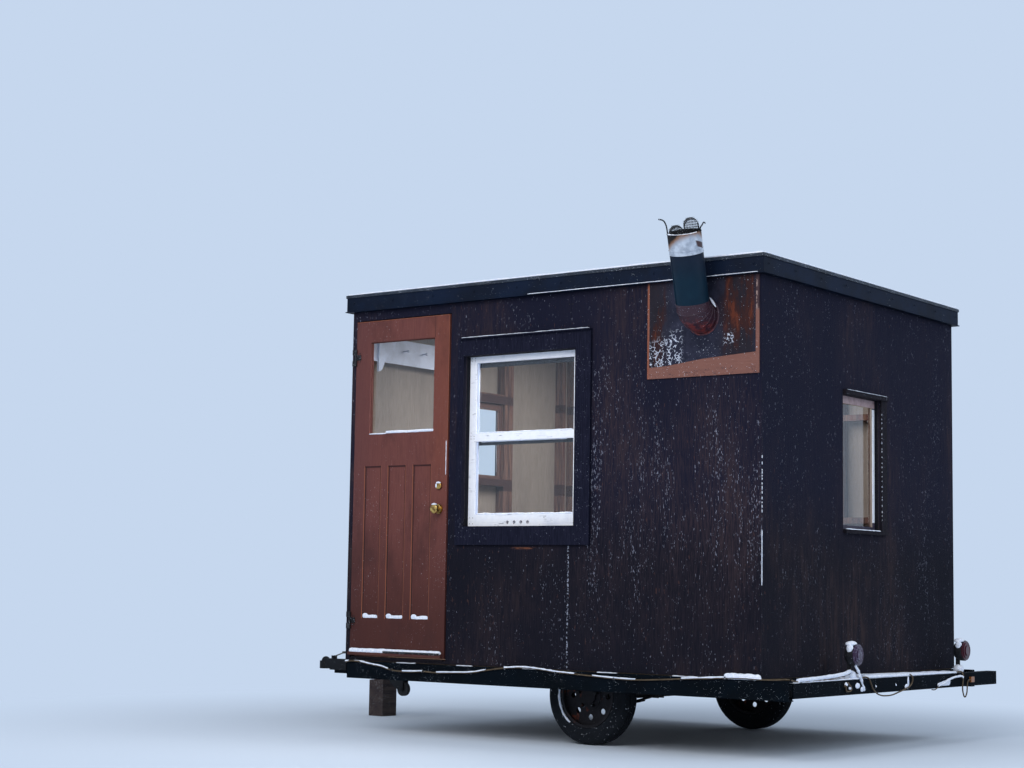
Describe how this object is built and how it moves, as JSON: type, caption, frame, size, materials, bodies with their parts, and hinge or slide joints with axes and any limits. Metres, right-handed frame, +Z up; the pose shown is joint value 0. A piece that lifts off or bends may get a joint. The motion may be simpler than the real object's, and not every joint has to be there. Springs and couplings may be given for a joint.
{
  "type": "ice fishing hut",
  "caption": "Flat-roofed stained plywood ice fishing hut on a steel trailer, with a panelled hinged door, windows, an outside stovepipe, wheels, a tongue with ball coupler and tail lamps.",
  "frame": {"origin": "middle of the whole outline in plan, on the ground plane", "axes": "+Z up, the door wall faces -Y, the tongue and coupler point to -X, +X is the light bar end"},
  "size_m": [4.327, 2.9325, 2.8092],
  "materials": {
    "trailer_paint": "worn satin",
    "coupler_steel": "worn satin",
    "latch_steel": "dull",
    "jack_paint": "satin",
    "black_rubber": "matt",
    "block_timber": "rough sawn",
    "axle_steel": "dull",
    "spring_steel": "rusty",
    "tyre": "matt",
    "rim_paint": "rusty",
    "lamp_housing": "weathered",
    "lamp_lens": "glossy red",
    "cable_jacket": "matt",
    "floor_ply": "bare plywood",
    "wall_stain": "dark stained plywood, weathered",
    "framing_timber": "stained studs",
    "rafter_timber": "bare timber",
    "roof_ply": "bare plywood",
    "roof_metal": "satin sheet",
    "fascia_metal": "satin sheet",
    "casing_paint": "dark painted boards",
    "sash_paint": "old white paint",
    "inner_sash_paint": "dark painted",
    "pale_board": "pale painted board",
    "window_glass": "clear",
    "jamb_paint": "painted",
    "hinge_steel": "dull",
    "door_paint": "painted, weathered",
    "weather_bar_paint": "painted",
    "brass": "worn polish",
    "patch_paint": "painted plywood",
    "rusty_sheet": "rusty sheet",
    "elbow_steel": "rusty",
    "pipe_paint": "stove paint",
    "bare_collar": "sooty bare metal",
    "screen_wire": "sooty wire"
  },
  "bodies": {
    "hut": {"trailer_frame": "trailer_paint", "tongue": "trailer_paint", "coupler": "coupler_steel", "jack": "jack_paint", "wood_block": "block_timber", "axle": "axle_steel", "leaf_springs": "spring_steel", "light_bar": "trailer_paint", "lamp_housings": "lamp_housing", "lamp_lenses": "lamp_lens", "wiring_cable": "cable_jacket", "floor_deck": "floor_ply", "wheel_boxes": "floor_ply", "front_wall_door_surround": "wall_stain", "front_wall_window_panel": "wall_stain", "front_wall_corner_panel": "wall_stain", "back_wall": "wall_stain", "left_end_wall": "wall_stain", "right_end_wall": "wall_stain", "wall_framing": "framing_timber", "rafters": "rafter_timber", "roof_deck": "roof_ply", "roof_sheet": "roof_metal", "fascia": "fascia_metal", "window_casing": "casing_paint", "front_window_sash": "sash_paint", "end_window_sashes": "sash_paint", "front_inner_sash": "inner_sash_paint", "coat_board": "pale_board", "window_glass": "window_glass", "door_frame": "jamb_paint", "frame_hinges": "hinge_steel", "flue_patch_panel": "patch_paint", "heat_shield": "rusty_sheet", "stove_elbow": "elbow_steel", "flue_pipe": "pipe_paint", "flue_collar": "bare_collar", "spark_screen": "screen_wire"},
    "coupler_latch": {"coupler_latch": "latch_steel"},
    "jack_wheel": {"jack_wheel": "black_rubber"},
    "front_wheel": {"front_tyre": "tyre", "front_wheel_rim": "rim_paint"},
    "back_wheel": {"back_tyre": "tyre", "back_wheel_rim": "rim_paint"},
    "door": {"door_leaf": "door_paint", "door_glass": "window_glass", "weather_bar": "weather_bar_paint", "door_hinges": "hinge_steel", "door_lock": "brass"},
    "door_knob": {"door_knob": "brass"}
  },
  "joints": [
    {"name": "door_hinge", "type": "hinge", "parent": "hut", "child": "door", "pos_m": [-0.8455, -1.11217, 1.4], "axis": [0, 0, -1], "range_deg": [0, 105]},
    {"name": "door_knob_turn", "type": "hinge", "parent": "door", "child": "door_knob", "pos_m": [-0.1755, -1.10467, 1.314], "axis": [0, 1, 0], "range_deg": [-60, 60]},
    {"name": "front_wheel_spin", "type": "hinge", "parent": "hut", "child": "front_wheel", "pos_m": [0.7305, -0.81867, 0.27], "axis": [0, 1, 0], "continuous": true},
    {"name": "back_wheel_spin", "type": "hinge", "parent": "hut", "child": "back_wheel", "pos_m": [0.7305, 0.97133, 0.27], "axis": [0, 1, 0], "continuous": true},
    {"name": "coupler_latch_lift", "type": "hinge", "parent": "hut", "child": "coupler_latch", "pos_m": [-2.0455, 0.07633, 0.371], "axis": [0, -1, 0], "range_deg": [-18, 42]},
    {"name": "jack_wheel_spin", "type": "hinge", "parent": "hut", "child": "jack_wheel", "pos_m": [-1.3635, 0.01333, 0.188], "axis": [0, 1, 0], "continuous": true}
  ]
}
